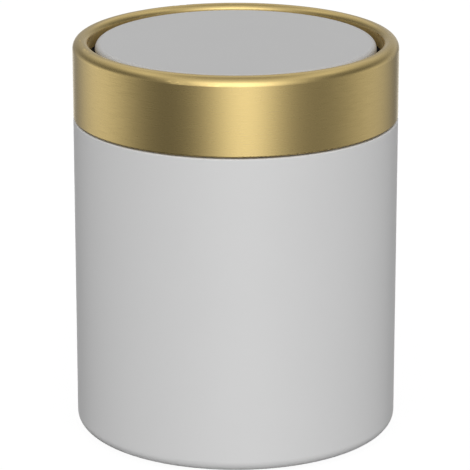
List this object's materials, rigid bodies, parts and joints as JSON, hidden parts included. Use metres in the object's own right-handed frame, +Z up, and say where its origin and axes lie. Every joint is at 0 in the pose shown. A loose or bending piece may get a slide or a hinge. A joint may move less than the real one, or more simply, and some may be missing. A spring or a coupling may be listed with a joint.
{
  "type": "swing-lid mini trash can",
  "caption": "Small round countertop bin with a straight painted can, a lift-off collar with a rolled brushed-metal rim and a counterweighted lid that swings inside it.",
  "frame": {"origin": "on the counter, under the middle of the base", "axes": "+Z up along the can's axis; the lid's pivot axis is along X; -Y is the front that is pushed to open the lid"},
  "size_m": [0.13, 0.13, 0.161],
  "materials": {
    "can_paint": "off-white satin powder coat on drawn steel",
    "pad_rubber": "matte black non-slip rubber",
    "collar_metal": "brass-coloured stainless steel, brushed round the collar",
    "frame_plastic": "fine-grained dark grey moulding",
    "lid_plastic": "off-white satin finish to match the can",
    "tray_plastic": "fine-grained dark grey moulding",
    "bare_steel": "bare turned steel"
  },
  "bodies": {
    "bin_body": {"body_shell": "can_paint", "foot_pad_1": "pad_rubber", "foot_pad_2": "pad_rubber", "foot_pad_3": "pad_rubber", "foot_pad_4": "pad_rubber"},
    "lid_collar": {"collar_sleeve": "collar_metal", "collar_frame": "frame_plastic"},
    "swing_lid": {"lid_cap": "lid_plastic", "lid_tray": "tray_plastic", "counterweight": "bare_steel", "lid_screws": "bare_steel", "pivot_pin_left": "bare_steel", "pivot_pin_right": "bare_steel"}
  },
  "joints": [
    {"name": "collar_lift", "type": "slide", "parent": "bin_body", "child": "lid_collar", "axis": [0, 0, 1], "range_m": [0, 0.08]},
    {"name": "lid_swing", "type": "hinge", "parent": "lid_collar", "child": "swing_lid", "pos_m": [0, 0, 0.1492], "axis": [1, 0, 0], "range_deg": [-78, 78]}
  ]
}
